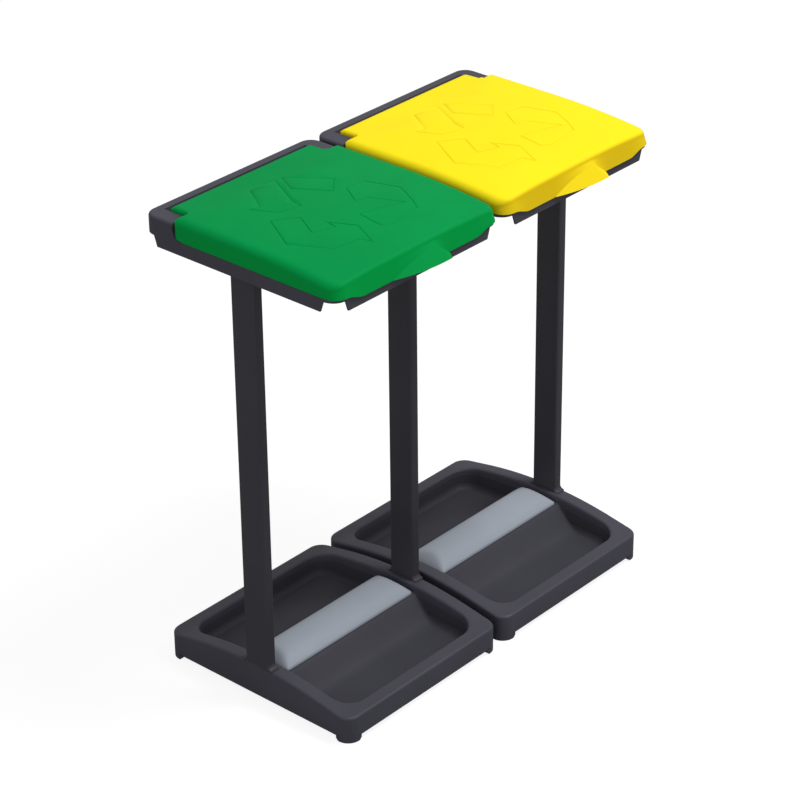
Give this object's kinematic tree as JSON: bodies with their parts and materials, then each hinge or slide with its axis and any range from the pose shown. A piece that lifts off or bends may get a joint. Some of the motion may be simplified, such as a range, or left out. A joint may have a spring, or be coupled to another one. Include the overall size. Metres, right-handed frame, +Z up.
{
  "type": "double recycling bin",
  "caption": "Double bag-stand recycling bin: moulded base trays, tubular posts and bag rings with hinged lids, joined side by side.",
  "frame": {"origin": "middle of the box round both units, at floor level", "axes": "+X along the pair, from the green unit to the yellow one; +Y from the lids' pulls to the hinges; +Z up"},
  "size_m": [0.732, 0.4036, 0.795],
  "materials": {
    "dark_plastic": "satin moulded",
    "post_plastic": "satin extruded",
    "grey_plastic": "satin moulded",
    "green_plastic": "satin moulded",
    "yellow_plastic": "satin moulded",
    "screw_steel": "zinc plated"
  },
  "bodies": {
    "root": {"tray_left": "dark_plastic", "tray_right": "dark_plastic", "post_left": "post_plastic", "post_centre": "post_plastic", "post_right": "post_plastic", "foot_plug_left": "dark_plastic", "foot_plug_centre": "dark_plastic", "foot_plug_right": "dark_plastic", "top_plug_left": "dark_plastic", "top_plug_centre": "dark_plastic", "top_plug_right": "dark_plastic", "foot_screws": "screw_steel", "top_screws": "screw_steel", "bag_ring_left": "dark_plastic", "bag_ring_right": "dark_plastic", "tray_link_front": "dark_plastic", "tray_link_rear": "dark_plastic", "ring_link_front": "dark_plastic", "ring_link_rear": "dark_plastic"},
    "lid_green": {"lid_green": "green_plastic", "hinge_pin_green_left": "dark_plastic", "hinge_pin_green_right": "dark_plastic"},
    "lid_yellow": {"lid_yellow": "yellow_plastic", "hinge_pin_yellow_left": "dark_plastic", "hinge_pin_yellow_right": "dark_plastic"},
    "cover_left": {"roll_cover_left": "grey_plastic"},
    "cover_right": {"roll_cover_right": "grey_plastic"}
  },
  "joints": [
    {"name": "lid_green_hinge", "type": "hinge", "parent": "root", "child": "lid_green", "pos_m": [-0.185, 0.16385, 0.772], "axis": [-1, 0, 0], "range_deg": [0, 105]},
    {"name": "lid_yellow_hinge", "type": "hinge", "parent": "root", "child": "lid_yellow", "pos_m": [0.185, 0.16385, 0.772], "axis": [-1, 0, 0], "range_deg": [0, 105]},
    {"name": "cover_left_lift", "type": "slide", "parent": "root", "child": "cover_left", "axis": [0, 0, 1], "range_m": [0, 0.08]},
    {"name": "cover_right_lift", "type": "slide", "parent": "root", "child": "cover_right", "axis": [0, 0, 1], "range_m": [0, 0.08]}
  ]
}
